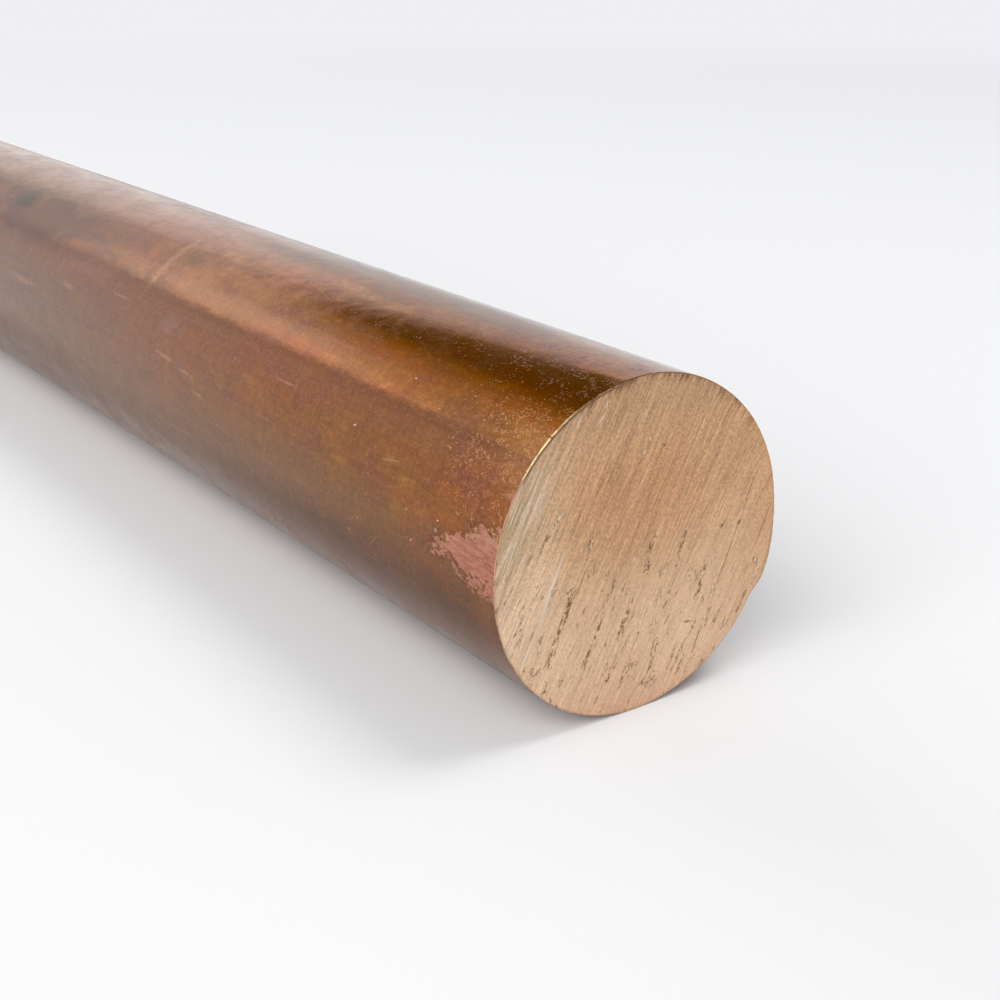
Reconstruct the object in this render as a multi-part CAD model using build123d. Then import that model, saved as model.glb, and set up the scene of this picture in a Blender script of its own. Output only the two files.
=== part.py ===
from build123d import *
import os

# A length of solid bronze bar, lying on the floor.
# X runs along the bar, Z is up, and the origin is on the floor under the middle of the bar.

# Driving dimensions, in millimetres.
bar_diameter = 50.0     # the round section, as cast and drawn
bar_length = 300.0      # from one sawn end to the other
edge_break = 0.25       # what a pass of a file takes off the sharp corner round a sawn end

bar_radius = bar_diameter / 2


def round_section():
    """The bar's section at its -X end: a circle whose lowest point touches the floor."""
    end_plane = Plane.YZ.offset(-bar_length / 2)
    return end_plane * Pos(0, bar_radius) * Circle(bar_radius)


def sawn_bar():
    """The section run the length of the bar. Each saw cut leaves a flat end, square to the bar."""
    return extrude(round_section(), bar_length, dir=(1, 0, 0))


def break_sawn_corners(bar):
    """The bar with the sharp corner taken off all the way round both sawn ends."""
    rims = bar.edges().filter_by(GeomType.CIRCLE)
    return chamfer(rims, edge_break)


round_bar = break_sawn_corners(sawn_bar())
round_bar.label = "round_bar"

os.makedirs("parts", exist_ok=True)
export_step(round_bar, "parts/round_bar.step")
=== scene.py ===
import bpy
import math
import random
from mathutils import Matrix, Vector


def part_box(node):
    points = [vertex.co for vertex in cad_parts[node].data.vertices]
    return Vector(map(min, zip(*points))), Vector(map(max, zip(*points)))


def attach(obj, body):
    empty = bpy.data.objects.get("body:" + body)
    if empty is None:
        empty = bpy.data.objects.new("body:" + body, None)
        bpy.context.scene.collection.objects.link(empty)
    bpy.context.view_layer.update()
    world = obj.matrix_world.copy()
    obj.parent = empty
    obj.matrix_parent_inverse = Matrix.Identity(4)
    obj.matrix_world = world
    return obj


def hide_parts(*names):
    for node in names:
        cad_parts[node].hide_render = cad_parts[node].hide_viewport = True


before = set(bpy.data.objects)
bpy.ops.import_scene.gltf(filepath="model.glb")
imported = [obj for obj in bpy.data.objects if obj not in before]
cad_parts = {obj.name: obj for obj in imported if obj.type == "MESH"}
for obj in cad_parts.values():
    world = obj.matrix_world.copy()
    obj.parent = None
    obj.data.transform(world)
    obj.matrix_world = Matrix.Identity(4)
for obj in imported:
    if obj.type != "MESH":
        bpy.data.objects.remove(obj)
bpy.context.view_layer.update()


# ============================================================================
# The bar. One length of solid cast bronze, drawn round through a die and left to tarnish brown.
# A band saw cut it to length, so each end is bare tan metal with straight saw marks and torn
# pits. The sharp corner round each end was knocked off with a file.
# ============================================================================

lowest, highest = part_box("round_bar")
bar_radius = (highest.z - lowest.z) / 2
bar_diameter = 2 * bar_radius
axis_height = lowest.z + bar_radius
near_end, far_end = highest.x, lowest.x
broken_corner = 0.0001                  # of the flat left by the saw and the file
mm = 0.001
burr_height = 0.55 * mm                  # that the saw left standing, so the cut lies that far in

near_saw_angle = math.radians(62)       # of the saw marks, from +Y towards +Z
far_saw_angle = math.radians(75)

skin_finish, sawn_finish, corner_finish = 0, 1, 2


# --- The blank: its wall, its two sawn faces and the corners between them ---

class Blank:
    """The bar's vertices and faces, gathered end by end and ring by ring."""

    def __init__(self):
        self.vertices, self.torn = [], []
        self.faces, self.finishes = [], []

    def add_vertex(self, x, across, up, torn=0.0):
        self.vertices.append((x, across, axis_height + up))
        self.torn.append(torn)
        return len(self.vertices) - 1

    def add_face(self, corners, finish):
        self.faces.append(corners)
        self.finishes.append(finish)

    def ring(self, x, radius, turns):
        """A ring of vertices round the bar, as (turn, vertex) pairs."""
        return [(a, self.add_vertex(x, radius * math.cos(a), radius * math.sin(a))) for a in turns]

    def join_rings(self, back, front, finish):
        """Faces between two rings, the first nearer to the far end. Their turns may differ."""
        i = j = 0
        while i < len(back) or j < len(front):
            a, b = back[i % len(back)][1], front[j % len(front)][1]
            next_a, next_b = back[(i + 1) % len(back)], front[(j + 1) % len(front)]
            turn_a = next_a[0] + math.tau * (i + 1 >= len(back)) if i < len(back) else math.inf
            turn_b = next_b[0] + math.tau * (j + 1 >= len(front)) if j < len(front) else math.inf
            if abs(turn_a - turn_b) < 1e-6:
                self.add_face((a, next_a[1], next_b[1], b), finish)
                i, j = i + 1, j + 1
            elif turn_a < turn_b:
                self.add_face((a, next_a[1], b), finish)
                i += 1
            else:
                self.add_face((a, next_b[1], b), finish)
                j += 1

    def sawn_face(self, x, radius, saw_angle, tears, across_count, along_count):
        """A disc whose lattice runs with and across the saw marks. Returns its rim as a ring."""
        quarter = math.pi / 4
        across_turns = [quarter * (2 * i / across_count - 1) for i in range(across_count + 1)]
        along_turns = [quarter * (2 * j / along_count - 1) for j in range(along_count + 1)]
        lattice = {}
        for i, turn in enumerate(across_turns):
            for j, tilt in enumerate(along_turns):
                u = radius * math.sqrt(2) * math.sin(turn) * math.cos(tilt)
                t = radius * math.sqrt(2) * math.sin(tilt) * math.cos(turn)
                across = u * math.sin(saw_angle) + t * math.cos(saw_angle)
                up = -u * math.cos(saw_angle) + t * math.sin(saw_angle)
                lattice[i, j] = self.add_vertex(x, across, up, torn_at(across, up, tears))
        for i in range(across_count):
            for j in range(along_count):
                corners = [lattice[i, j], lattice[i + 1, j], lattice[i + 1, j + 1], lattice[i, j + 1]]
                self.add_face(corners if x > 0 else corners[::-1], sawn_finish)
        rim = ([(i, 0) for i in range(across_count)]
               + [(across_count, j) for j in range(along_count)]
               + [(i, along_count) for i in range(across_count, 0, -1)]
               + [(0, j) for j in range(along_count, 0, -1)])
        ring = []
        for place in rim:
            _, across, height = self.vertices[lattice[place]]
            ring.append((math.atan2(height - axis_height, across) % math.tau, lattice[place]))
        return sorted(ring)


# Where the saw tore the metal: each line of tears as across, up, across, up, half width, in
# millimetres from the bar's axis. On the near end most of them are in the lower half.
near_tears = [
    (-12.0, -3.6, -15.6, -13.6, 0.8), (-4.8, -3.6, -8.0, -12.0, 0.5), (-8.4, -12.4, -10.0, -16.0, 0.5),
    (-1.2, -7.6, -3.6, -13.2, 0.7), (-3.6, -15.6, -5.6, -18.8, 0.7), (8.4, 1.6, 6.6, -4.4, 0.5),
    (12.4, -5.2, 11.0, -10.4, 0.5), (2.4, 1.2, 1.0, -3.6, 0.7), (3.6, -14.4, 2.2, -19.6, 0.5),
    (-15.2, 6.8, -17.6, 3.2, 0.4), (-8.6, 4.0, -9.0, 2.2, 0.4), (22.0, -6.8, 22.6, -8.8, 0.5),
    (-20.6, -6.8, -22.0, -7.8, 0.4), (0.0, -17.6, -0.4, -18.8, 0.4), (1.4, -21.0, 1.0, -22.0, 0.4),
    (-14.2, 8.2, -14.6, 7.2, 0.4), (18.9, 0.1, 18.3, -0.5, 0.5), (15.3, 0.2, 15.1, -0.2, 0.3),
    (13.8, 11.6, 13.4, 10.8, 0.3), (3.6, 14.6, 4.0, 13.8, 0.4), (-16.4, -17.2, -15.4, -19.2, 0.4),
]
tear_draw = random.Random(7)
far_tears = []
for _ in range(20):
    reach = bar_radius / mm * 0.85 * math.sqrt(tear_draw.random())
    turn = tear_draw.uniform(0, math.tau)
    length = tear_draw.choice((0.6, 2.5, 6.0, 9.0))
    start = reach * math.cos(turn), reach * math.sin(turn)
    far_tears.append((*start, start[0] + length * math.cos(far_saw_angle),
                      start[1] + length * math.sin(far_saw_angle), tear_draw.uniform(0.4, 0.9)))


def torn_at(across, up, tears):
    """How torn the cut is at a place: 1 along a line of tears, fading to 0 beside it."""
    y, z = across / mm, up / mm
    most = 0.0
    for y1, z1, y2, z2, half_width in tears:
        run_y, run_z = y2 - y1, z2 - z1
        share = ((y - y1) * run_y + (z - z1) * run_z) / (run_y ** 2 + run_z ** 2)
        share = min(1.0, max(0.0, share))
        gap = math.hypot(y - y1 - share * run_y, z - z1 - share * run_z)
        most = max(most, 1.0 - gap / (2 * half_width))
    return most


def build_blank():
    blank = Blank()
    face_radius = bar_radius - broken_corner
    near_lattice, far_lattice, wall_count = (360, 110), (200, 60), 360
    front_rim = blank.sawn_face(near_end, face_radius, near_saw_angle, near_tears, *near_lattice)
    rear_rim = blank.sawn_face(far_end, face_radius, far_saw_angle, far_tears, *far_lattice)
    front_turns = [a for a, _ in front_rim]
    rear_turns = [a for a, _ in rear_rim]
    wall_turns = [math.tau * i / wall_count for i in range(wall_count)]
    # Rings stand close together by the near end, and further apart along the bar.
    ring_count, first_ring, last_ring = 88, far_end + 2 * mm, near_end - 3 * mm
    rings = [blank.ring(far_end + d * mm, bar_radius, rear_turns) for d in (0.1, 0.4, 0.9)]
    for k in range(ring_count, -1, -1):
        x = last_ring - (last_ring - first_ring) * (k / ring_count) ** 1.5
        rings.append(blank.ring(x, bar_radius, wall_turns))
    rings += [blank.ring(near_end - d * mm, bar_radius, front_turns) for d in (1.6, 1.0, 0.6, 0.3, 0.1)]
    blank.join_rings(rear_rim, rings[0], corner_finish)
    for back, front in zip(rings, rings[1:]):
        blank.join_rings(back, front, skin_finish)
    blank.join_rings(rings[-1], front_rim, corner_finish)
    return blank


blank = build_blank()
blank_mesh = bpy.data.meshes.new("bar_blank")
blank_mesh.from_pydata(blank.vertices, [], blank.faces)
blank_mesh.update()
torn_layer = blank_mesh.attributes.new("torn", "FLOAT", "POINT")
torn_layer.data.foreach_set("value", blank.torn)
finish_layer = blank_mesh.attributes.new("finish", "INT", "FACE")
finish_layer.data.foreach_set("value", blank.finishes)
blank_mesh.polygons.foreach_set("use_smooth", [True] * len(blank_mesh.polygons))
finishes_beside = {}
for polygon, finish in zip(blank_mesh.polygons, blank.finishes):
    for edge_key in polygon.edge_keys:
        finishes_beside.setdefault(edge_key, set()).add(finish)
for edge in blank_mesh.edges:
    edge.use_edge_sharp = len(finishes_beside[edge.key]) > 1
bronze_bar = bpy.data.objects.new("bronze_bar", blank_mesh)
bpy.context.scene.collection.objects.link(bronze_bar)


# --- How the finishes are laid: a bench for the nodes of one tree -----------

class Bench:
    """Lays the nodes of one tree, each fed by those before it. Places and sizes are in mm."""

    def __init__(self, tree):
        self.tree = tree

    def add(self, kind, *fed, **settings):
        node = self.tree.nodes.new(kind)
        for name, value in settings.items():
            setattr(node, name, value)
        for socket, value in zip([s for s in node.inputs if s.enabled], fed):
            self.feed(socket, value)
        return node

    def feed(self, socket, value):
        if isinstance(value, bpy.types.NodeSocket):
            self.tree.links.new(value, socket)
        elif value is not None:
            socket.default_value = value

    def feed_named(self, sockets, **values):
        """Feeds sockets by their names. A name is written with _ for its spaces."""
        for name, value in values.items():
            self.feed(sockets[name.replace("_", " ")], value)

    def maths(self, operation, *values):
        return self.add("ShaderNodeMath", *values, operation=operation).outputs[0]

    def in_turn(self, operation, first, *others):
        """One piece of maths done on several values, one after another."""
        for other in others:
            first = self.maths(operation, first, other)
        return first

    def plus(self, *values):
        return self.in_turn("ADD", *values)

    def less(self, value, taken_off):
        return self.maths("SUBTRACT", value, taken_off)

    def product(self, *values):
        return self.in_turn("MULTIPLY", *values)

    def most(self, *values):
        return self.in_turn("MAXIMUM", *values)

    def least(self, *values):
        return self.in_turn("MINIMUM", *values)

    def gap(self, first, second):
        """How far apart two values are."""
        return self.maths("ABSOLUTE", self.less(first, second))

    def swing(self, cloud, reach):
        """A cloud's swing to both sides of its middle."""
        return self.product(self.less(cloud, 0.5), reach)

    def bearing(self, up, along):
        """The angle whose tangent is up over along, in degrees."""
        return self.product(self.maths("ARCTAN2", up, along), 180 / math.pi)

    def vector(self, operation, *values):
        outputs = self.add("ShaderNodeVectorMath", *values, operation=operation).outputs
        return outputs["Value" if operation == "LENGTH" else "Vector"]

    def scaled(self, vector, amount):
        longer = self.vector("SCALE", vector)
        self.feed(longer.node.inputs["Scale"], amount)
        return longer

    def place(self, x=0.0, y=0.0, z=0.0):
        return self.add("ShaderNodeCombineXYZ", x, y, z).outputs[0]

    def split(self, vector):
        return self.add("ShaderNodeSeparateXYZ", vector).outputs

    def ease(self, value, low, high):
        """0 below low, 1 above high, smooth between. Low may be above high."""
        node = self.add("ShaderNodeMapRange", interpolation_type="SMOOTHSTEP")
        self.feed_named(node.inputs, Value=value, From_Min=low, From_Max=high)
        return node.outputs[0]

    def band(self, value, rise, fall):
        """1 between the stretch where it rises and the one where it falls, and 0 outside them."""
        return self.product(self.ease(value, *rise), self.ease(value, *reversed(fall)))

    def level(self, share, low, high):
        """A value between low and high."""
        node = self.add("ShaderNodeMix", data_type="FLOAT", clamp_factor=True)
        for number, fed in ((0, share), (2, low), (3, high)):
            self.feed(node.inputs[number], fed)
        return node.outputs[0]

    def slide(self, value, stretch, ends):
        """A value that goes smoothly from one end to the other over a stretch of another value."""
        return self.level(self.ease(value, *stretch), *ends)

    def tint(self, share, under, over, blend="MIX"):
        """One colour laid over another."""
        node = self.add("ShaderNodeMix", data_type="RGBA", blend_type=blend)
        for number, fed in ((0, share), (6, under), (7, over)):
            if number and isinstance(fed, tuple):
                fed = (*fed, 1.0)
            self.feed(node.inputs[number], fed)
        return node.outputs[2]

    def lay(self, colour, coat, *shares):
        """A colour with a coat over it, as strong as the product of its shares."""
        return self.tint(self.product(*shares), colour, coat)

    def cloud(self, place, size, seed, detail=2.0, roughness=0.5):
        """Soft random patches about as large as size, which may differ by axis. From 0 to 1."""
        sizes = size if isinstance(size, tuple) else (size, size, size)
        moved = self.vector("ADD", self.vector("MULTIPLY", place, tuple(1 / s for s in sizes)),
                            (seed * 3.17, seed * 7.31, seed * 1.73))
        node = self.add("ShaderNodeTexNoise")
        self.feed_named(node.inputs, Vector=moved, Scale=1.0, Detail=detail, Roughness=roughness)
        return node.outputs[0]


def start_group(name, tree_type, inputs, outputs):
    """A node group with named sockets. Returns its bench, its inputs and its end node."""
    tree = bpy.data.node_groups.new(name, tree_type)
    for label, kind, value in inputs:
        socket = tree.interface.new_socket(label, in_out="INPUT", socket_type="NodeSocket" + kind)
        if value is not None:
            socket.default_value = value
    for label, kind in outputs:
        tree.interface.new_socket(label, in_out="OUTPUT", socket_type="NodeSocket" + kind)
    bench = Bench(tree)
    return bench, bench.add("NodeGroupInput").outputs, bench.add("NodeGroupOutput").inputs


def use_group(bench, tree, **values):
    """Places a group, with its inputs by name. Returns its outputs."""
    shader = tree.bl_idname == "ShaderNodeTree"
    node = bench.add("ShaderNodeGroup" if shader else "GeometryNodeGroup", node_tree=tree)
    bench.feed_named(node.inputs, **values)
    return node.outputs


# The relief of a saw cut is cut into the mesh and drawn in the metal's finish, so the same
# group is built for both kinds of tree.
def saw_relief_group(tree_type):
    bench, given, out = start_group(
        "saw_relief", tree_type,
        [("Place", "Vector", None), ("Saw Angle", "Float", 1.0), ("Torn", "Float", 0.0),
         ("Seed", "Float", 0.0)],
        [("Height", "Float"), ("Marks", "Float"), ("Cracks", "Float"), ("Lips", "Float"),
         ("Across", "Float"), ("Along", "Float")])
    _, y, z = bench.split(given["Place"])
    cosine = bench.maths("COSINE", given["Saw Angle"])
    sine = bench.maths("SINE", given["Saw Angle"])
    across = bench.less(bench.product(y, sine), bench.product(z, cosine))
    along = bench.plus(bench.product(y, cosine), bench.product(z, sine))
    seed = bench.product(given["Seed"], 31.7)
    flat = bench.place(across, along, seed)
    # The blade wanders a little, so the marks aren't quite straight.
    wander = bench.swing(bench.cloud(flat, (30.0, 40.0, 1.0), 1), 1.6)
    wandered = bench.place(bench.plus(across, wander), along, seed)
    fine = bench.cloud(wandered, (0.45, 15.0, 1.0), 2, 3.0, 0.72)
    coarse = bench.cloud(wandered, (1.9, 26.0, 1.0), 3, 1.0, 0.5)
    strength = bench.slide(bench.cloud(flat, (11.0, 22.0, 1.0), 4, 1.0), (0.35, 0.65), (0.45, 1.0))
    marks = bench.product(bench.plus(bench.less(fine, 0.5), bench.swing(coarse, 0.6)), strength)
    # Tears are short crooked cracks, each a fraction of a millimetre wide, with stray ones about.
    crooked = bench.cloud(wandered, (0.55, 1.7, 1.0), 5, 3.0, 0.65)
    nearness = bench.gap(crooked, 0.5)
    scatter = bench.cloud(wandered, (0.9, 4.0, 1.0), 6, 1.0)
    likely = bench.plus(bench.product(given["Torn"], 0.55), bench.product(scatter, 0.95))
    torn = bench.ease(likely, 0.76, 0.98)
    lower = bench.ease(bench.plus(z, bench.product(y, 0.35)), 9.0, -7.0)
    stray = bench.product(bench.ease(scatter, 0.55, 0.66), lower)
    broken = bench.most(torn, bench.product(stray, 0.7))
    cracks = bench.product(bench.ease(nearness, 0.060, 0.015), broken)
    lips = bench.product(bench.ease(nearness, 0.14, 0.08), broken)
    depth = bench.plus(bench.product(cracks, 0.08), bench.product(torn, 0.03))
    height = bench.less(bench.product(marks, 0.03), depth)
    bench.feed_named(out, Height=height, Marks=marks, Cracks=cracks, Lips=lips, Across=across, Along=along)
    return bench.tree


def place_on_bar(bench, here):
    """A place from the middle of the bar's axis, in mm."""
    return bench.vector("MULTIPLY", bench.vector("SUBTRACT", here, (0, 0, axis_height)), (1 / mm,) * 3)


def start_step(name, inputs):
    """A tree that does one step of the making to the bar's mesh."""
    bench, given, out = start_group(name, "GeometryNodeTree", [("Geometry", "Geometry", None)] + inputs,
                                    [("Geometry", "Geometry")])
    here = bench.add("GeometryNodeInputPosition").outputs[0]
    return bench, given, out, place_on_bar(bench, here)


def end_step(bench, given, out, geometry, finish):
    """Lays the step's material on the faces of one finish, and ends the tree."""
    named = bench.add("GeometryNodeInputNamedAttribute", "finish", data_type="INT").outputs["Attribute"]
    chosen = bench.add("FunctionNodeCompare", data_type="INT", operation="EQUAL")
    bench.feed(chosen.inputs[2], named)
    chosen.inputs[3].default_value = finish
    real = bench.add("GeometryNodeRealizeInstances", geometry).outputs[0]
    laid = bench.add("GeometryNodeSetMaterial", real, chosen.outputs[0], given["Material"]).outputs[0]
    bench.feed(out["Geometry"], laid)
    return bench.tree


def radius_of(bench, place):
    """How far a place is from the bar's axis, and the direction outwards."""
    flat = bench.vector("MULTIPLY", place, (0, 1, 1))
    return bench.vector("LENGTH", flat), bench.vector("NORMALIZE", flat)


def moved(bench, geometry, chosen, offset_mm):
    """The mesh with its chosen vertices moved by an offset."""
    offset = bench.vector("MULTIPLY", offset_mm, (mm,) * 3)
    node = bench.add("GeometryNodeSetPosition")
    bench.feed_named(node.inputs, Geometry=geometry, Selection=chosen, Offset=offset)
    return node.outputs[0]


def draw_skin_tree():
    """Drawing leaves the wall slightly rippled. Ripples only go inwards."""
    bench, given, out, place = start_step("draw_skin", [
        ("Ripple Depth", "Float", 0.03), ("Seed", "Float", 0.0), ("Material", "Material", None)])
    radius, outward = radius_of(bench, place)
    on_wall = bench.maths("GREATER_THAN", radius, bar_radius / mm - 0.01)
    seeded = bench.vector("ADD", place, bench.place(given["Seed"]))
    ripple = bench.cloud(seeded, (30.0, 11.0, 11.0), 11, 2.0)
    inward = bench.scaled(outward, bench.product(ripple, given["Ripple Depth"], -1.0))
    geometry = moved(bench, given["Geometry"], on_wall, inward)
    return end_step(bench, given, out, geometry, skin_finish)


def saw_end_tree(relief_group):
    """The saw's marks and tears, cut into one end, and the burr it left where it broke through."""
    bench, given, out, place = start_step("saw_end", [
        ("End", "Float", 0.0), ("Saw Angle", "Float", 1.0), ("Depth", "Float", 1.0),
        ("Drift", "Float", 0.1), ("Burr Height", "Float", 0.0), ("Burr Turn", "Float", 0.0),
        ("Seed", "Float", 0.0), ("Material", "Material", None)])
    x, y, z = bench.split(place)
    radius, outward = radius_of(bench, place)
    from_end = bench.gap(x, given["End"])
    on_end = bench.maths("LESS_THAN", from_end, 0.01)
    torn = bench.add("GeometryNodeInputNamedAttribute", "torn", data_type="FLOAT").outputs["Attribute"]
    relief = use_group(bench, relief_group, Place=place, Saw_Angle=given["Saw Angle"], Torn=torn,
                       Seed=given["Seed"])
    drift = bench.product(bench.cloud(place, 24.0, 12, 1.0), given["Drift"])
    cut = bench.less(bench.product(relief["Height"], given["Depth"]), drift)
    cut = bench.product(bench.least(bench.less(cut, 0.01), 0.0), on_end)
    # The burr stands proud of the cut and of the wall. It rises fast and dies away slowly.
    turn = bench.less(bench.maths("ARCTAN2", z, y), given["Burr Turn"])
    raised = bench.band(turn, (-0.25, -0.09), (0.85, 1.65))
    at_rim = bench.ease(radius, bar_radius / mm - 3.5, bar_radius / mm - 0.2)
    ragged = bench.level(bench.cloud(place, (50.0, 1.2, 1.2), 15, 2.0, 0.6), 0.8, 1.15)
    left = bench.product(raised, at_rim, bench.least(ragged, 1.0))
    near_it = bench.most(bench.less(1.0, bench.product(from_end, 0.6)), 0.0)
    sunk = bench.product(bench.less(1.0, left), given["Burr Height"], near_it)
    at_lip = bench.ease(radius, bar_radius / mm - 0.8, bar_radius / mm - 0.2)
    peak = bench.product(bench.band(turn, (-0.25, -0.06), (0.0, 0.35)), at_lip, near_it)
    widest = bench.most(bench.maths("ABSOLUTE", y), bench.maths("ABSOLUTE", z))
    room = bench.less(bench.maths("DIVIDE", bench.product(radius, bar_radius / mm), widest), radius)
    spread = bench.least(bench.product(peak, given["Burr Height"], 0.7), bench.product(room, 0.8))
    back = bench.product(bench.less(cut, sunk), bench.maths("SIGN", given["End"]))
    offset = bench.vector("ADD", bench.scaled(outward, spread), bench.place(back))
    geometry = moved(bench, given["Geometry"], bench.maths("LESS_THAN", from_end, 1.7), offset)
    return end_step(bench, given, out, geometry, sawn_finish)


def break_corner_tree():
    """The corner round one end: a little uneven and nicked, and filed off flat for a short way."""
    bench, given, out, place = start_step("break_corner", [
        ("End", "Float", 0.0), ("Unevenness", "Float", 0.1), ("Nick Depth", "Float", 0.25),
        ("Filed Turn", "Float", 0.0), ("Filed Width", "Float", 0.2), ("Seed", "Float", 0.0),
        ("Material", "Material", None)])
    x, y, z = bench.split(place)
    radius, outward = radius_of(bench, place)
    from_end = bench.gap(x, given["End"])
    at_rim = bench.ease(radius, bar_radius / mm - 0.6, bar_radius / mm - 0.12)
    at_corner = bench.product(at_rim, bench.ease(from_end, 0.5, 0.15))
    seeded = bench.place(0.0, bench.plus(y, given["Seed"]), z)
    uneven = bench.product(bench.cloud(seeded, 1.4, 13, 2.0, 0.65), given["Unevenness"])
    nicks = bench.ease(bench.cloud(seeded, 0.8, 14, 1.0), 0.68, 0.80)
    turn = bench.less(bench.maths("ARCTAN2", z, y), given["Filed Turn"])
    filed = bench.product(bench.ease(bench.maths("ABSOLUTE", turn), 0.27, 0.12), given["Filed Width"])
    on_wall = bench.product(bench.maths("GREATER_THAN", from_end, 0.05), at_corner)
    on_face = bench.product(bench.maths("LESS_THAN", from_end, 0.05), at_corner)
    nicked = bench.product(nicks, given["Nick Depth"], at_corner)
    back = bench.plus(bench.product(uneven, at_corner), bench.plus(nicked, bench.product(filed, on_wall)))
    inward = bench.scaled(outward, bench.product(filed, on_face, -1.0))
    backward = bench.place(bench.product(back, bench.maths("SIGN", given["End"]), -1.0))
    offset = bench.vector("ADD", inward, backward)
    geometry = moved(bench, given["Geometry"], bench.maths("LESS_THAN", from_end, 0.6), offset)
    return end_step(bench, given, out, geometry, corner_finish)


# --- Marks that more than one of the finishes has ---------------------------

def bar_place_group():
    """Where a point is on the bar, in mm: from the near end, and round from the top towards -Y."""
    bench, given, out = start_group("bar_place", "ShaderNodeTree", [], [
        ("Place", "Vector"), ("From End", "Float"), ("Round", "Float"), ("Wall", "Vector"),
        ("Radius", "Float")])
    here = bench.add("ShaderNodeTexCoord").outputs["Object"]
    place = place_on_bar(bench, here)
    x, y, z = bench.split(place)
    from_end = bench.less(near_end / mm, x)
    turn = bench.maths("ARCTAN2", bench.product(y, -1.0), z)
    around = bench.product(turn, bar_radius / mm)
    radius, _ = radius_of(bench, place)
    bench.feed_named(out, Place=place, From_End=from_end, Round=around,
                     Wall=bench.place(from_end, around), Radius=radius)
    return bench.tree


def stroke_group():
    """One long thin stroke: a scratch, a stain or a run. 0 at its middle and 1 at its edge."""
    bench, given, out = start_group("stroke", "ShaderNodeTree", [
        ("Place", "Vector", None), ("Middle", "Vector", None), ("Turn", "Vector", None),
        ("Half Size", "Vector", (1, 1, 1))], [("Reach", "Float")])
    fed = [given[name] for name in ("Place", "Middle", "Turn", "Half Size")]
    laid = bench.add("ShaderNodeMapping", *fed, vector_type="TEXTURE").outputs[0]
    bench.feed(out["Reach"], bench.vector("LENGTH", laid))
    return bench.tree


def speckle_group():
    """Small specks or pits strewn over the metal, crowded where Crowding is high."""
    bench, given, out = start_group("speckle", "ShaderNodeTree", [
        ("Place", "Vector", None), ("Size", "Float", 0.4), ("Crowding", "Float", 0.3)],
        [("Mask", "Float")])
    sizes = bench.place(given["Size"], given["Size"], given["Size"])
    grain = bench.cloud(bench.vector("DIVIDE", given["Place"], sizes), 1.0, 22, 1.0, 0.5)
    threshold = bench.level(given["Crowding"], 0.80, 0.52)
    bench.feed(out["Mask"], bench.ease(grain, threshold, bench.plus(threshold, 0.06)))
    return bench.tree


bar_place = bar_place_group()
stroke = stroke_group()
speckle = speckle_group()


def start_finish(name):
    """A metal finish: its bench, its surface and the places on it."""
    material = bpy.data.materials.new(name)
    material.use_nodes = True
    bench = Bench(material.node_tree)
    surface = material.node_tree.nodes["Principled BSDF"].inputs
    surface["Metallic"].default_value = 1.0
    return material, bench, surface, use_group(bench, bar_place)


def lay_bump(bench, surface, height, strength=1.0):
    """Relief too fine for the mesh. Heights are in mm."""
    bump = bench.add("ShaderNodeBump")
    bench.feed_named(bump.inputs, Strength=strength, Distance=mm, Height=height)
    bench.feed(surface["Normal"], bump.outputs[0])


def marks_from(bench, place, grit, raggedness, soft, strokes):
    """Like strokes together, as one mask. Each is where it starts, where it ends and half its width."""
    reaches = []
    for x1, y1, x2, y2, half_width in strokes:
        start, end = Vector((x1, y1)), Vector((x2, y2))
        run = end - start
        placed = use_group(bench, stroke, Place=place, Middle=(*(start + end) / 2, 0),
                           Turn=(0, 0, math.atan2(run.y, run.x)),
                           Half_Size=(run.length / 2 + half_width, half_width, 1))
        reaches.append(placed["Reach"])
    ragged = bench.swing(grit, raggedness)
    return bench.ease(bench.plus(bench.least(*reaches), ragged), 1.0, 1.0 - soft)


# --- The skin: brown tarnish over the drawn wall, with a patch rubbed down to pink copper ---

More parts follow.
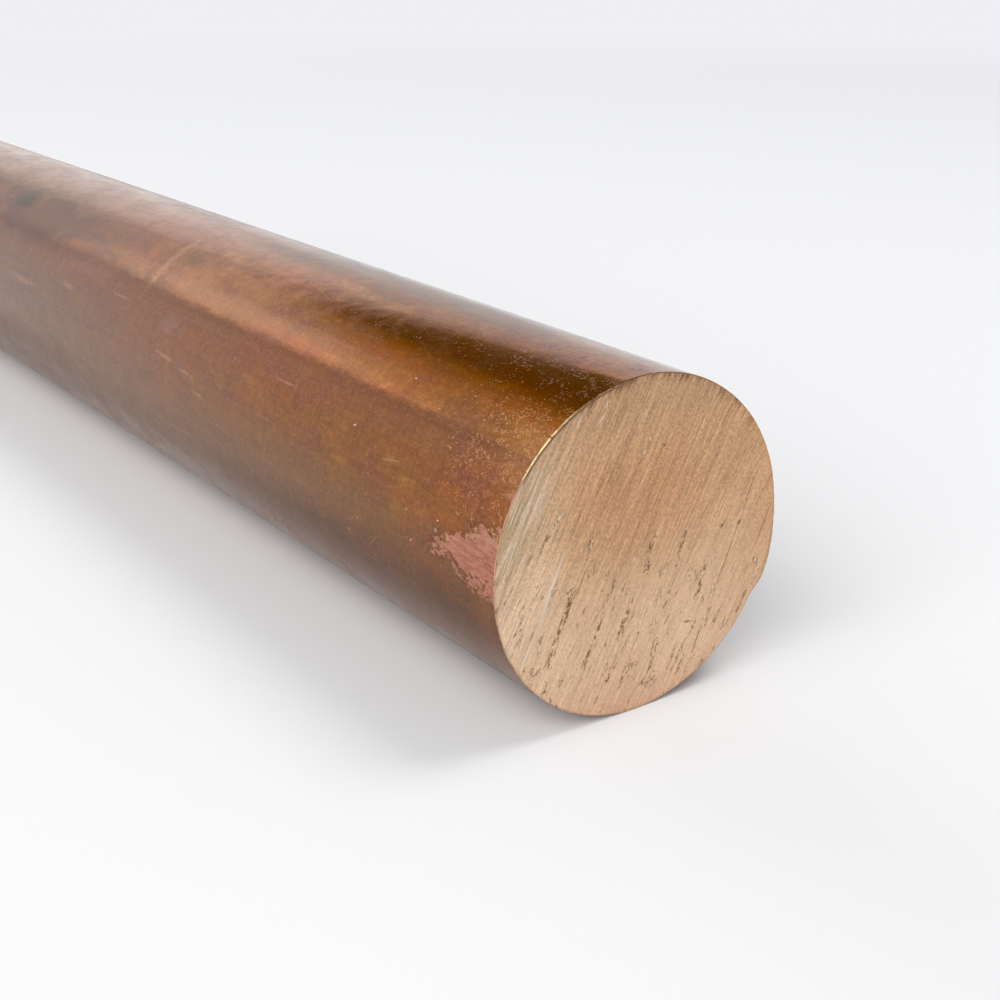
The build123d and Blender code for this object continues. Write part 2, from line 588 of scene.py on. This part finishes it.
def tarnished_skin():
    material, bench, surface, at = start_finish("tarnished_skin")
    place, wall, from_end, around = at["Place"], at["Wall"], at["From End"], at["Round"]

    # The tarnish: red-brown and olive clouds, with plum and amber thin spots among them.
    broad = bench.cloud(place, (38.0, 12.0, 12.0), 31, 2.0, 0.6)
    patchy = bench.cloud(place, (9.0, 5.0, 5.0), 32, 4.0, 0.70)
    mottle = bench.cloud(place, (3.2, 1.8, 1.8), 33, 4.0, 0.72)
    grit = bench.cloud(place, (0.9, 0.6, 0.6), 34, 2.0, 0.7)
    colour = bench.tint(bench.ease(broad, 0.38, 0.62), (0.325, 0.100, 0.032), (0.270, 0.108, 0.036))
    colour = bench.lay(colour, (0.25, 0.085, 0.05), bench.ease(patchy, 0.5, 0.62), 0.75)
    colour = bench.lay(colour, (0.37, 0.15, 0.042), bench.ease(patchy, 0.47, 0.35), 0.75)
    colour = bench.lay(colour, (0.215, 0.088, 0.045), bench.ease(mottle, 0.54, 0.66), 0.55)
    colour = bench.lay(colour, (0.415, 0.175, 0.068), bench.ease(mottle, 0.46, 0.34), 0.55)
    # Away from the near end the tarnish is painted greyer and mauve, a painted haze of light over it.
    sideways = bench.ease(around, 13.0, 26.0)
    reach = bench.plus(from_end, bench.product(patchy, 60.0), bench.product(sideways, 35.0))
    far_painted_haze = bench.ease(reach, 90.0, 250.0)
    haze_tone = bench.tint(sideways, (0.26, 0.125, 0.080), (0.220, 0.134, 0.106))
    colour = bench.lay(colour, haze_tone, far_painted_haze, bench.slide(mottle, (0.38, 0.62), (0.95, 0.7)))
    # A pale band along the bar is painted highlight, where the softbox shows in it, with a band of painted
    # shade just below it; low on the side the colour is darker and greener, painted shade that deepens
    # towards the bottom.
    painted_highlight_band = bench.product(bench.ease(bench.gap(around, 18.2), 2.6, 1.2), bench.ease(from_end, 25.0, 60.0),
                         bench.ease(patchy, 0.25, 0.55))
    colour = bench.lay(colour, (0.36, 0.165, 0.085), painted_highlight_band, 0.5)
    wavy = bench.plus(around, bench.swing(patchy, 6.0))
    painted_shade_band = bench.band(wavy, (19.0, 22.0), (23.0, 30.0))
    colour = bench.lay(colour, (0.26, 0.1, 0.056), painted_shade_band, 0.5)
    # Painted shade: darker and greener low on the side.
    low = bench.ease(bench.plus(around, bench.product(patchy, 6.0)), 34.0, 42.0)
    colour = bench.lay(colour, (0.205, 0.102, 0.043), low,
                       bench.slide(mottle, (0.38, 0.62), (0.92, 0.5)),
                       bench.slide(from_end, (60.0, 140.0), (1.0, 0.55)))
    # Painted shade: darkest low down by the floor, over the first stretch.
    lowest = bench.product(bench.ease(around, 39.0, 46.0),
                           bench.band(from_end, (2.0, 9.0), (50.0, 130.0)),
                           bench.slide(patchy, (0.38, 0.62), (0.6, 0.3)))
    colour = bench.lay(colour, (0.1, 0.046, 0.018), lowest)
    # The first stretch is painted a deeper brown over the shoulder and darker along the very top, both
    # painted shade.
    shoulder_shade = bench.product(bench.ease(from_end, 66.0, 28.0),
                             bench.band(around, (3.5, 6.5), (16.0, 22.0)))
    colour = bench.tint(shoulder_shade, colour, (0.93, 0.86, 0.42), blend="MULTIPLY")
    top_shade = bench.product(bench.ease(around, 5.0, -1.0),
                           bench.band(from_end, (14.0, 30.0), (88.0, 118.0)))
    colour = bench.tint(top_shade, colour, (0.68, 0.66, 0.68), blend="MULTIPLY")
    # Painted highlight: a tan stretch along the upper side, beside the pale band.
    tan_highlight = marks_from(bench, wall, patchy, 2.5, 0.9, [(62.0, 13.6, 142.0, 13.0, 5.0)])
    colour = bench.lay(colour, (0.41, 0.17, 0.068), tan_highlight, 0.6)

    # Faint lines drawn along the bar by the die, and fainter ones rubbed round it.
    drawn = bench.cloud(place, (26.0, 0.7, 0.7), 35, 2.0, 0.6)
    rubbed = bench.cloud(place, (0.4, 6.0, 6.0), 36, 1.0, 0.6)
    shade = bench.plus(bench.swing(drawn, 0.3), bench.swing(rubbed, 0.34),
                       bench.swing(grit, bench.slide(from_end, (25.0, 110.0), (0.65, 0.25))), 1.0)
    colour = bench.tint(1.0, colour, bench.place(shade, shade, shade), blend="MULTIPLY")

    # Specks and pits, crowded along the top for the first 45 mm.
    top = bench.product(bench.ease(bench.gap(around, 2.5), 12.0, 5.0),
                        bench.ease(bench.plus(from_end, bench.product(patchy, 40.0)), 88.0, 30.0))
    crowding = bench.product(bench.level(top, 0.16, 0.9), bench.ease(mottle, 0.38, 0.62))
    pits = use_group(bench, speckle, Place=place, Size=0.42, Crowding=crowding)["Mask"]
    in_pits = bench.tint(bench.ease(around, 3.0, 5.5), (0.05, 0.020, 0.014), (0.40, 0.21, 0.115))
    colour = bench.lay(colour, in_pits, pits, 0.65)

    # Near the sawn end the tarnish is scuffed through, in orange specks and short curled hairs.
    side = bench.product(bench.ease(bench.gap(around, 22.0), 15.0, 4.0),
                         bench.ease(bench.plus(from_end, bench.product(patchy, 26.0)), 42.0, 12.0))
    worst = bench.product(bench.level(side, 0.40, 1.4), bench.ease(mottle, 0.38, 0.60))
    specks = use_group(bench, speckle, Place=place, Size=0.36, Crowding=worst)["Mask"]
    curled = bench.gap(bench.cloud(wall, (1.5, 1.1, 1.0), 39, 1.0), 0.5)
    hairs = bench.product(bench.ease(curled, 0.020, 0.005), bench.ease(patchy, 0.42, 0.55),
                          bench.level(side, 0.35, 0.80))
    handled = bench.product(bench.ease(from_end, 10.0, 2.0),
                            bench.ease(bench.gap(around, 21.0), 6.0, 2.0))
    colour = bench.lay(colour, (0.52, 0.235, 0.095), handled, grit, 0.8)
    scuffs = bench.product(bench.most(specks, hairs), bench.level(grit, 0.2, 1.0))
    colour = bench.lay(colour, (0.63, 0.31, 0.13), scuffs)

    # The patch where the tarnish is gone: pink copper, from the sawn end inwards.
    out_x = bench.maths("POWER", bench.maths("DIVIDE", from_end, 14.4), 2.0)
    off_line = bench.less(around, bench.plus(36.1, bench.product(from_end, 0.03)))
    out_s = bench.maths("POWER", bench.maths("ABSOLUTE", bench.maths("DIVIDE", off_line, 4.4)), 2.0)
    rag = bench.cloud(wall, (3.6, 2.4, 1.0), 37, 4.0, 0.62)
    inside = bench.less(bench.product(bench.less(rag, 0.25), 3.4), bench.plus(out_x, out_s))
    bare = bench.ease(inside, 0.0, 0.12)
    spot = marks_from(bench, wall, rag, 2.5, 0.5, [(0.0, 26.4, 1.4, 26.6, 0.8)])
    bare = bench.most(bare, spot)
    streak = bench.cloud(wall, (3.0, 0.45, 1.0), 38, 3.0, 0.65)
    smeared = bench.product(bench.ease(inside, -0.7, -0.1), bench.ease(patchy, 0.42, 0.55))
    colour = bench.lay(colour, (0.16, 0.058, 0.024), smeared, 0.5)
    pink = bench.tint(bench.ease(streak, 0.36, 0.62), (0.40, 0.150, 0.088), (0.55, 0.235, 0.165))
    pink = bench.lay(pink, (0.6, 0.29, 0.19), bench.ease(mottle, 0.5, 0.6), 0.5)
    colour = bench.lay(colour, pink, bare, bench.slide(grit, (0.36, 0.5), (0.72, 1.0)))
    # Painted highlight: pale bits along the patch's torn edge.
    patch_edge_highlight = bench.product(bench.ease(bench.maths("ABSOLUTE", inside), 0.22, 0.03),
                              bench.ease(grit, 0.46, 0.6))
    colour = bench.lay(colour, (0.68, 0.38, 0.22), patch_edge_highlight, 0.6)

    # Further along: a plum stretch of painted shade, and old stains: a dark spot, a green one, a pale ring
    # round the bar, rosy patches and an amber streak.
    for coat, share, edge, raggedness, soft, strokes in (
            ((0.185, 0.09, 0.07), 0.8, patchy, 3.0, 0.6, [(142.0, 16.0, 230.0, 16.5, 7.5)]),
            ((0.085, 0.066, 0.038), 0.9, mottle, 1.4, 0.9, [(198.0, 13.6, 208.0, 15.6, 3.8)]),
            ((0.15, 0.105, 0.055), 0.45, mottle, 2.0, 0.9, [(112.0, 11.5, 119.0, 14.5, 2.4)]),
            ((0.5, 0.27, 0.15), 0.55, mottle, 2.0, 0.9, [(122.8, 3.0, 122.8, 24.0, 1.9)]),
            ((0.34, 0.17, 0.125), 0.5, mottle, 2.5, 0.9, [(101.0, 25.0, 112.0, 26.5, 2.4),
                                                          (128.0, 21.6, 168.0, 24.0, 2.6)]),
            ((0.42, 0.17, 0.08), 0.5, patchy, 3.0, 0.9, [(150.0, 18.0, 174.0, 20.4, 1.8)])):
        stain = marks_from(bench, wall, edge, raggedness, soft, strokes)
        colour = bench.lay(colour, coat, stain, share)

    # Pale scratches, and chips paler still.
    scratches = marks_from(bench, wall, grit, 2.5, 0.9, [
        (67.0, 10.2, 84.0, 6.6, 0.20), (84.0, 6.6, 101.0, 3.2, 0.24), (26.0, 29.0, 31.4, 29.9, 0.24),
        (58.7, 26.0, 67.0, 26.1, 0.22), (93.0, 32.6, 100.0, 32.2, 0.48), (99.0, 32.0, 111.0, 31.2, 0.48),
        (87.0, 35.3, 93.0, 34.9, 0.42), (90.0, 43.6, 109.0, 43.8, 0.24), (127.0, 25.0, 135.0, 25.2, 0.42),
        (152.0, 27.8, 161.0, 27.9, 0.75), (172.0, 31.3, 190.0, 31.2, 0.7), (29.0, 40.4, 34.0, 44.8, 0.13),
        (30.0, 46.2, 35.0, 46.0, 0.16),
    ])
    chips = marks_from(bench, wall, grit, 1.5, 0.7, [
        (40.0, 27.1, 40.5, 27.3, 0.20), (33.0, 17.1, 33.3, 17.1, 0.16), (14.4, 34.0, 14.7, 34.1, 0.15),
        (20.6, 38.7, 20.8, 38.9, 0.15), (35.4, 40.1, 35.6, 40.3, 0.16), (38.6, 43.0, 38.9, 43.2, 0.16),
        (22.2, 34.6, 22.4, 35.0, 0.13),
    ])
    colour = bench.lay(colour, (0.54, 0.29, 0.165), scratches, 0.5)
    colour = bench.lay(colour, (0.75, 0.6, 0.47), chips, 0.8)
    bench.feed(surface["Base Color"], colour)

    roughness = bench.plus(bench.slide(patchy, (0.35, 0.65), (0.09, 0.17)),
                           bench.product(far_painted_haze, 0.1),
                           bench.product(bench.most(bare, scratches), 0.12),
                           bench.product(bench.ease(around, 33.0, 43.0), 0.1))
    bench.feed(surface["Roughness"], roughness)
    dents = bench.cloud(place, (5.0, 2.5, 2.5), 40, 1.0)
    raised = bench.plus(bench.product(drawn, 0.006), bench.product(rubbed, 0.003),
                        bench.product(dents, bench.slide(from_end, (30.0, 90.0), (0.03, 0.055))),
                        bench.product(grit, 0.006))
    scratched = bench.less(raised, bench.product(specks, 0.02))
    height = bench.less(scratched, bench.product(pits, bench.level(grit, 0.0, 0.035)))
    lay_bump(bench, surface, height)
    return material


# --- The sawn ends: bare tan bronze -----------------------------------------

def sawn_bronze(relief_group):
    material, bench, surface, at = start_finish("sawn_bronze")
    place = at["Place"]
    x, y, z = bench.split(place)
    near = bench.maths("GREATER_THAN", x, 0.0)
    saw_angle = bench.level(near, far_saw_angle, near_saw_angle)
    torn = bench.add("ShaderNodeAttribute", attribute_name="torn").outputs["Fac"]
    relief = use_group(bench, relief_group, Place=place, Saw_Angle=saw_angle, Torn=torn,
                       Seed=bench.level(near, 2.0, 1.0))
    marks, cracks = relief["Marks"], relief["Cracks"]
    lined = bench.place(relief["Across"], relief["Along"], bench.level(near, 9.0, 4.0))
    face = bench.place(y, z)

    # The bare metal, tan, painted paler towards the bottom and on the left as light and darker towards the
    # top as shade, with a warmer and darker cloud across its upper middle, partly painted shade.
    warmth = bench.cloud(lined, (9.0, 26.0, 1.0), 41, 1.0, 0.5)
    # Painted shade: darker towards the top, paler towards the bottom.
    colour = bench.tint(bench.ease(z, 8.0, -17.0), (0.61, 0.365, 0.205), (0.765, 0.525, 0.350))
    # Painted light: paler on the left, most towards the bottom.
    left = bench.product(bench.ease(y, -6.0, -20.0), bench.slide(z, (8.0, -10.0), (0.35, 0.95)))
    colour = bench.lay(colour, (0.82, 0.59, 0.405), left)
    from_cloud = bench.place(bench.product(bench.plus(y, 1.0), 0.75), bench.plus(z, -7.0))
    upper_shade = bench.ease(bench.vector("LENGTH", from_cloud), 14.0, 3.0)
    warm_cloud_and_shade = bench.product(bench.plus(upper_shade, bench.product(bench.ease(warmth, 0.35, 0.75), 0.5)), 0.6)
    colour = bench.lay(colour, (0.555, 0.3, 0.15), warm_cloud_and_shade)
    # Painted shade: darker again near the top.
    colour = bench.lay(colour, (0.49, 0.3, 0.17), bench.ease(z, 13.0, 22.0), 0.7)
    cut_deep = bench.product(bench.ease(marks, -0.01, -0.2), bench.slide(z, (-4.0, 12.0), (0.18, 0.42)))
    colour = bench.lay(colour, (0.36, 0.205, 0.105), cut_deep)
    colour = bench.lay(colour, (0.84, 0.62, 0.43), bench.ease(marks, 0.02, 0.22), 0.16)
    hairlines = bench.less(bench.cloud(lined, (0.24, 8.0, 1.0), 21, 3.0, 0.7), 0.5)
    grit = bench.cloud(place, 0.4, 42, 2.0, 0.7)
    shade = bench.plus(bench.product(hairlines, 0.85), bench.swing(grit, 0.75))
    shade = bench.plus(bench.product(shade, bench.slide(z, (-8.0, 6.0), (0.85, 1.45))), 1.0)
    colour = bench.tint(1.0, colour, bench.place(shade, shade, shade), blend="MULTIPLY")

    # Long dark lines left by a chipped tooth, a hooked dent, and the tears with their bright lips.
    chipped = marks_from(bench, face, grit, 0.8, 0.9, [
        (21.6, 7.6, 18.4, -0.2, 0.17), (18.8, 0.4, 12.6, -13.8, 0.19), (12.8, -13.2, 9.8, -20.4, 0.17),
        (24.6, 2.4, 21.4, -6.0, 0.13), (16.4, -11.6, 13.8, -17.2, 0.11), (-7.6, 24.0, -10.5, 20.0, 0.12),
        (-9.4, 0.0, -11.6, -5.0, 0.12), (10.8, 13.6, 8.2, 7.6, 0.12)])
    dent = marks_from(bench, face, grit, 1.6, 0.9, [
        (8.2, -13.5, 10.2, -13.8, 0.24), (10.9, -13.5, 10.6, -14.6, 0.2), (18.6, -0.1, 18.5, -0.4, 0.5),
        (15.2, 0.0, 15.1, -0.2, 0.35)])
    dark = bench.most(cracks, bench.product(near, chipped, 0.8), bench.product(near, dent, 0.85))
    colour = bench.lay(colour, (0.86, 0.64, 0.45), relief["Lips"], 0.35)
    colour = bench.lay(colour, (0.26, 0.132, 0.06), dark)

    # Stain run in under the left rim: grey-green streaks, with paler ones among them.
    streaks = bench.cloud(lined, (0.4, 9.0, 1.0), 43, 3.0, 0.7)
    stain = bench.product(near, marks_from(bench, face, streaks, 1.6, 0.9,
                                           [(-16.5, 19.0, -25.0, -2.0, 6.0)]))
    colour = bench.lay(colour, (0.37, 0.3, 0.17), stain, bench.ease(streaks, 0.58, 0.38), 0.75)
    colour = bench.lay(colour, (0.61, 0.6, 0.55), stain, bench.ease(streaks, 0.5, 0.62), 0.65)

    # White scratches, mostly towards the left rim, and small white knocks.
    scratches = marks_from(bench, face, grit, 1.6, 0.9, [
        (-12.2, 5.4, -18.4, -8.4, 0.26), (-18.4, -8.4, -20.8, -13.2, 0.22),
        (-13.4, 2.0, -19.4, -11.0, 0.18), (-6.6, 23.0, -6.9, 21.0, 0.16), (-6.9, 21.0, -8.3, 19.3, 0.18),
        (-10.8, 21.6, -11.9, 19.3, 0.13), (-20.6, 12.4, -22.8, 7.6, 0.16), (-20.4, 8.2, -23.2, 1.8, 0.14),
        (-2.8, -20.6, -4.4, -23.4, 0.16)])
    knocks = marks_from(bench, face, grit, 1.0, 0.6, [
        (-0.3, -14.6, -0.6, -15.2, 0.24), (-14.1, 8.2, -14.5, 7.4, 0.24), (2.1, -8.8, 2.2, -9.1, 0.22),
        (-1.3, -1.3, -1.2, -1.5, 0.22), (0.1, 14.3, -0.1, 13.8, 0.22), (0.9, 16.0, 1.0, 15.6, 0.2)])
    pale = bench.most(bench.product(near, scratches, 0.6), bench.product(near, knocks, 0.5))
    colour = bench.lay(colour, (0.84, 0.8, 0.74), pale)

    # The rim is darkened where the file missed it, by a line of painted shade just inside the rim
    # along the short way that the file did cut, and along the burr's edge.
    turn = bench.bearing(z, y)
    rim_gap = bench.less(bar_radius / mm, at["Radius"])
    reach_in = bench.plus(rim_gap, bench.swing(streaks, 4.0))
    tufts = bench.product(bench.ease(reach_in, 1.6, 0.0), bench.ease(marks, 0.05, -0.06),
                          bench.band(turn, (20.0, 62.0), (112.0, 128.0)))
    rim_shade_line = bench.product(bench.ease(bench.gap(rim_gap, 0.38), 0.28, 0.08),
                           bench.band(turn, (92.0, 104.0), (142.0, 150.0)))
    burr_line = bench.product(bench.ease(rim_gap, 0.45, 0.1), bench.ease(grit, 0.36, 0.6))
    rim = bench.product(near, bench.most(tufts, bench.product(rim_shade_line, 0.9), bench.product(burr_line, 0.5)))
    colour = bench.lay(colour, (0.15, 0.065, 0.03), rim, 0.85)
    bench.feed(surface["Base Color"], colour)

    roughness = bench.plus(bench.slide(hairlines, (-0.2, 0.2), (0.46, 0.38)), bench.product(dark, 0.2))
    bench.feed(surface["Roughness"], roughness)
    cut = bench.less(bench.product(marks, 0.03), bench.product(cracks, 0.05))
    height = bench.plus(cut, bench.product(hairlines, 0.01))
    lay_bump(bench, surface, height, 0.8)
    return material


# --- The broken corners: bright where the file cut, brown where the tarnish was left ---

def filed_corner():
    material, bench, surface, at = start_finish("filed_corner")
    place = at["Place"]
    x, y, z = bench.split(place)
    near = bench.maths("GREATER_THAN", x, 0.0)
    turn = bench.bearing(z, y)
    patches = bench.cloud(place, (1.0, 2.0, 2.0), 51, 3.0, 0.7)
    grit = bench.cloud(place, 0.45, 52, 3.0, 0.7)
    # Tan where the saw broke it, brown over the top, and bright where the file fell on it.
    colour = bench.tint(bench.ease(patches, 0.40, 0.60), (0.60, 0.36, 0.22), (0.40, 0.19, 0.10))
    over_top = bench.band(turn, (5.0, 40.0), (114.0, 128.0))
    colour = bench.lay(colour, (0.1, 0.035, 0.015), over_top, bench.ease(patches, 0.3, 0.45))
    bared = bench.product(near, bench.ease(turn, 146.0, 158.0), bench.ease(grit, 0.40, 0.55))
    colour = bench.lay(colour, (0.8, 0.42, 0.28), bared)
    filed = bench.product(near, bench.band(turn, (112.0, 130.0), (141.0, 150.0)),
                          bench.slide(patches, (0.62, 0.46), (0.35, 1.0)))
    colour = bench.lay(colour, (0.98, 0.8, 0.42), filed)
    dots = use_group(bench, speckle, Place=place, Size=0.5, Crowding=bench.level(filed, 0.5, 0.65))["Mask"]
    colour = bench.lay(colour, (0.12, 0.05, 0.03), dots, 0.8)
    bench.feed(surface["Base Color"], colour)
    bench.feed(surface["Roughness"], bench.level(filed, 0.38, 0.22))
    lay_bump(bench, surface, bench.product(grit, 0.02))
    return material


# --- The steps of the making, in their order --------------------------------

def do_step(name, tree, **values):
    """Puts one step on the bar, with its named inputs."""
    modifier = bronze_bar.modifiers.new(name, "NODES")
    modifier.node_group = tree
    for socket in tree.interface.items_tree:
        label = socket.name.replace(" ", "_")
        if socket.in_out == "INPUT" and label in values:
            modifier[socket.identifier] = values[label]


skin = tarnished_skin()
sawn = sawn_bronze(saw_relief_group("ShaderNodeTree"))
corner = filed_corner()
saw_end = saw_end_tree(saw_relief_group("GeometryNodeTree"))
break_corner = break_corner_tree()

do_step("draw_skin", draw_skin_tree(), Ripple_Depth=0.05, Seed=3.0, Material=skin)
do_step("break_near_corner", break_corner, End=near_end / mm, Unevenness=0.06, Nick_Depth=0.15,
        Filed_Turn=math.radians(133), Filed_Width=0.1, Seed=1.0, Material=corner)
do_step("break_far_corner", break_corner, End=far_end / mm, Unevenness=0.06, Nick_Depth=0.15,
        Filed_Turn=math.radians(60), Filed_Width=0.25, Seed=40.0, Material=corner)
do_step("saw_near_end", saw_end, End=near_end / mm, Saw_Angle=near_saw_angle, Depth=1.0, Drift=0.05,
        Burr_Height=burr_height / mm, Burr_Turn=math.radians(-17), Seed=1.0, Material=sawn)
do_step("saw_far_end", saw_end, End=far_end / mm, Saw_Angle=far_saw_angle, Depth=1.0, Drift=0.05,
        Burr_Height=burr_height / mm, Burr_Turn=math.radians(160), Seed=2.0, Material=sawn)

bpy.context.view_layer.update()
made_bar = bronze_bar.evaluated_get(bpy.context.evaluated_depsgraph_get())
bar_mesh = bpy.data.meshes.new_from_object(made_bar)
bronze_bar.modifiers.clear()
bronze_bar.data = bar_mesh

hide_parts("round_bar")
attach(bronze_bar, "root")


# ============================================================================
# The floor. A pale matt board, wide enough to pass out of sight, which takes the bar's shadow.
# Far from the bar it turns into the plain pale backdrop that it is swept up into.
# ============================================================================

floor_half = 4.0        # metres
floor_mesh = bpy.data.meshes.new("floor")
floor_corners = [(-floor_half, -floor_half, 0), (floor_half, -floor_half, 0),
                 (floor_half, floor_half, 0), (-floor_half, floor_half, 0)]
floor_mesh.from_pydata(floor_corners, [], [(0, 1, 2, 3)])
floor = bpy.data.objects.new("floor", floor_mesh)
bpy.context.scene.collection.objects.link(floor)


backdrop_white = 0.865, 0.86, 0.90
swept_up = 0.55, 1.3    # in metres from the bar: where the board begins to turn, and is backdrop


def pale_board():
    material = bpy.data.materials.new("pale_board")
    material.use_nodes = True
    bench = Bench(material.node_tree)
    material.node_tree.nodes.remove(material.node_tree.nodes["Principled BSDF"])
    rays = bench.add("ShaderNodeLightPath").outputs
    here = bench.add("ShaderNodeTexCoord").outputs["Object"]
    # What the bar mirrors of the board beside its near half is painted a little darker and browner than
    # the board, as shade in the bar's reflection.
    along_board, _, _ = bench.split(here)
    beside_bar = bench.band(along_board, (30 * mm, 90 * mm), (near_end, near_end + 10 * mm))
    mirrored = bench.product(beside_bar, rays["Is Glossy Ray"])
    paint = bench.tint(mirrored, (0.90, 0.90, 0.90), (0.85, 0.79, 0.78))
    paint = bench.lay(paint, (0.93, 0.915, 0.91), rays["Is Camera Ray"])
    board = bench.add("ShaderNodeBsdfDiffuse", paint)
    far = bench.ease(bench.vector("LENGTH", here), *swept_up)
    seen = bench.most(rays["Is Camera Ray"], rays["Is Glossy Ray"], rays["Is Transmission Ray"])
    backdrop = bench.add("ShaderNodeEmission", (*backdrop_white, 1), 1.0).outputs[0]
    mixed = bench.add("ShaderNodeMixShader", bench.product(far, seen), board.outputs[0], backdrop)
    bench.feed(material.node_tree.nodes["Material Output"].inputs["Surface"], mixed.outputs[0])
    return material


floor_mesh.materials.append(pale_board())


# ============================================================================
# The light. A white studio: a low front softbox, one above and behind, a weak one from the
# side, and the glow of the room. The metal mirrors the studio's walls, painted by direction.
# ============================================================================

def studio():
    world = bpy.data.worlds.new("studio")
    world.use_nodes = True
    bench = Bench(world.node_tree)
    direction = bench.add("ShaderNodeTexCoord").outputs["Generated"]
    x, y, z = bench.split(direction)
    height = bench.product(bench.maths("ARCSINE", z), 180 / math.pi)
    turn = bench.bearing(z, y)      # round the bar, from +Y over the top
    aside = bench.bearing(bench.product(y, -1.0), bench.product(x, -1.0))      # from -X towards -Y
    # A long softbox hangs beside the bar, over the -Y side. Its low edge is tilted, and the end
    # wall below it and beside it is darker.
    over_edge = bench.plus(height, bench.product(bench.less(turn, 120.0), 0.09))
    softbox = bench.product(bench.band(turn, (92.0, 116.0), (122.0, 129.0)),
                            bench.ease(over_edge, 19.6, 21.8))
    beside = bench.band(turn, (122.0, 127.0), (126.0, 138.0))
    below = bench.product(bench.band(turn, (66.0, 71.0), (124.0, 136.0)),
                          bench.ease(over_edge, 22.0, 20.0), bench.ease(height, -1.0, 2.0))
    # Between the top of the backdrop and the softbox the studio is unlit, and wood brown.
    leaned = bench.less(height, bench.product(bench.plus(aside, 25.0), 0.12))
    gap = bench.product(bench.ease(leaned, 27.3, 29.8), bench.ease(height, 66.0, 52.0),
                        bench.ease(turn, 110.0, 100.0), bench.ease(x, -0.2, -0.5))
    red = bench.slide(turn, (74.0, 104.0), (0.25, 0.95))
    green = bench.product(red, bench.slide(turn, (74.0, 104.0), (0.72, 0.9)))
    wood = bench.place(red, green, bench.slide(turn, (84.0, 106.0), (0.0, 0.75)))
    # The low end of the backdrop, beyond the far end of the bar, is brighter.
    far_sweep = bench.product(bench.ease(aside, -27.0, -22.0), bench.ease(height, 29.0, 25.0),
                              bench.ease(turn, 125.5, 122.5))
    level = bench.level(far_sweep, 0.94, 1.19)
    level = bench.level(bench.most(beside, below), level, 0.72)
    # A dull stretch stands low on the +Y side.
    dull = bench.product(bench.band(aside, (-41.0, -38.0), (-33.0, -30.0)), bench.ease(height, 14.0, 3.0))
    level = bench.level(dull, level, 0.79)
    level = bench.level(softbox, level, bench.slide(height, (32.0, 28.5), (1.05, 1.47)))
    mirrored = bench.tint(gap, bench.place(level, level, level), wood)
    rays = bench.add("ShaderNodeLightPath").outputs
    # Light that the bar throws on the floor is kept weak, as the softboxes there give the rest.
    thrown = bench.ease(rays["Diffuse Depth"], 0.4, 0.6)
    mirrored = bench.tint(thrown, mirrored, (0.31, 0.32, 0.33))
    seen = bench.tint(rays["Is Diffuse Ray"], mirrored, (0.210, 0.230, 0.252))
    seen = bench.lay(seen, backdrop_white, rays["Is Camera Ray"])
    background = world.node_tree.nodes["Background"]
    bench.feed(background.inputs["Color"], seen)
    return world


bpy.context.scene.world = studio()
bpy.context.scene.world.cycles.sampling_method = "NONE"     # the hung softboxes light the floor


softbox_distance = 3.0  # metres


def hang_softbox(name, bearing, height, wide, tall, share):
    """A softbox. Its bearing is from +X towards +Y, its width and height are parts of its distance,
    and share is its part of the floor's light."""
    light = bpy.data.lights.new(name, "AREA")
    light.shape = "RECTANGLE"
    light.size, light.size_y = wide * softbox_distance, tall * softbox_distance
    light.energy = share * math.pi ** 2 * softbox_distance ** 2 / math.sin(height)
    softbox = bpy.data.objects.new(name, light)
    bpy.context.scene.collection.objects.link(softbox)
    sideways = math.cos(height)
    away = Vector((sideways * math.cos(bearing), sideways * math.sin(bearing), math.sin(height)))
    softbox.location = Vector((near_end, 0, 0)) + away * softbox_distance
    softbox.rotation_euler = away.to_track_quat("Z", "Y").to_euler()
    softbox.visible_glossy = False      # the metal mirrors the painted studio instead
    softbox.visible_camera = False


hang_softbox("front_softbox", math.radians(300), math.radians(35), 1.2, 0.9, 0.675)
hang_softbox("back_softbox", math.radians(75), math.radians(65), 0.4, 0.4, 0.26)
hang_softbox("side_softbox", math.radians(180), math.radians(15), 0.9, 0.5, 0.10)


# ============================================================================
# The camera. It stands beside the near end, a little above the bar, and looks down along it.
# The saw cut that it faces lies in from the end of the bar by the height of the burr.
# ============================================================================

look_down, look_aside = math.radians(20.75), math.radians(54.73)
camera_data = bpy.data.cameras.new("camera")
camera_data.lens = 55.42
camera = bpy.data.objects.new("camera", camera_data)
bpy.context.scene.collection.objects.link(camera)
foot_of_cut = Vector((near_end - burr_height, 0, 0))
camera.location = foot_of_cut + bar_diameter * Vector((2.987, -2.592, 2.134))
camera.rotation_euler = (math.radians(90) - look_down, 0, look_aside)
bpy.context.scene.camera = camera
bpy.context.scene.view_settings.view_transform = "Standard"
